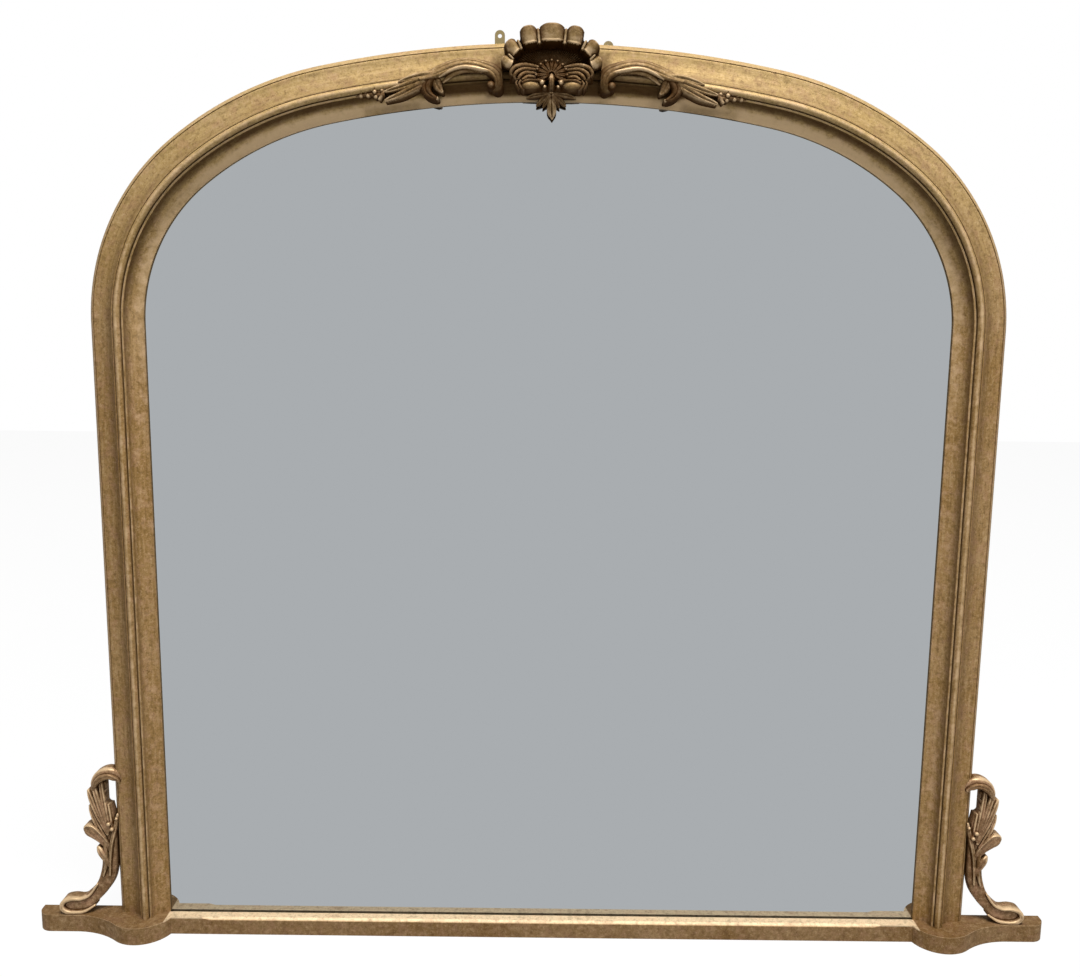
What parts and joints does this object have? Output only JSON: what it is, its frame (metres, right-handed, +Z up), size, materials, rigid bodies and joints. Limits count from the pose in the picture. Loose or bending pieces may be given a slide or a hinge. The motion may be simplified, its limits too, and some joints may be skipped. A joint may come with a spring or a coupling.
{
  "type": "overmantel mirror",
  "caption": "Arched overmantel mirror: gilt moulded frame on a shaped base board, with a carved shell crest, scrolls and scroll brackets, made to stand on a mantelshelf against a wall.",
  "frame": {"origin": "middle of the base board's underside, on its back edge, which lies in the wall plane", "axes": "+Z up; +Y into the wall, so the front faces -Y; +X to the right as seen from the front"},
  "size_m": [1.412, 0.0595, 1.2109],
  "materials": {
    "gilt_base": "aged gilt on wood, rubbed cream along the front edge",
    "gilt_post": "aged gilt on wood, satin",
    "gilt_arch": "aged gilt on wood, satin",
    "gilt_crest": "aged gilt on carved wood, dark in the hollows",
    "gilt_bracket": "aged gilt on carved wood, dark in the hollows",
    "mirror_plate": "polished silvered glass",
    "back_wood": "plain sawn softwood",
    "raw_wood": "plain hardwood",
    "steel_fasteners": "dull steel",
    "plate_metal": "dull pale brass"
  },
  "bodies": {
    "root": {"base_board": "gilt_base", "post_left": "gilt_post", "post_right": "gilt_post", "arch_shoulder_left": "gilt_arch", "arch_shoulder_right": "gilt_arch", "arch_haunch_left": "gilt_arch", "arch_haunch_right": "gilt_arch", "arch_crown_left": "gilt_arch", "arch_crown_right": "gilt_arch", "mirror_glass": "mirror_plate", "back_board_1": "back_wood", "back_board_2": "back_wood", "back_board_3": "back_wood", "back_board_4": "back_wood", "back_board_5": "back_wood", "back_board_6": "back_wood", "glass_blocks": "raw_wood", "back_board_nails": "steel_fasteners", "arch_dowels": "raw_wood", "post_screws": "steel_fasteners", "hanger_plate_left": "plate_metal", "hanger_plate_right": "plate_metal", "hanger_screws": "steel_fasteners", "bracket_left": "gilt_bracket", "bracket_right": "gilt_bracket", "crest_shell": "gilt_crest", "crest_palmette": "gilt_crest", "crest_cup_left": "gilt_crest", "crest_cup_right": "gilt_crest", "crest_pendant": "gilt_crest", "crest_scroll_left": "gilt_crest", "crest_scroll_right": "gilt_crest", "crest_husk_left": "gilt_crest", "crest_husk_right": "gilt_crest"}
  },
  "joints": []
}
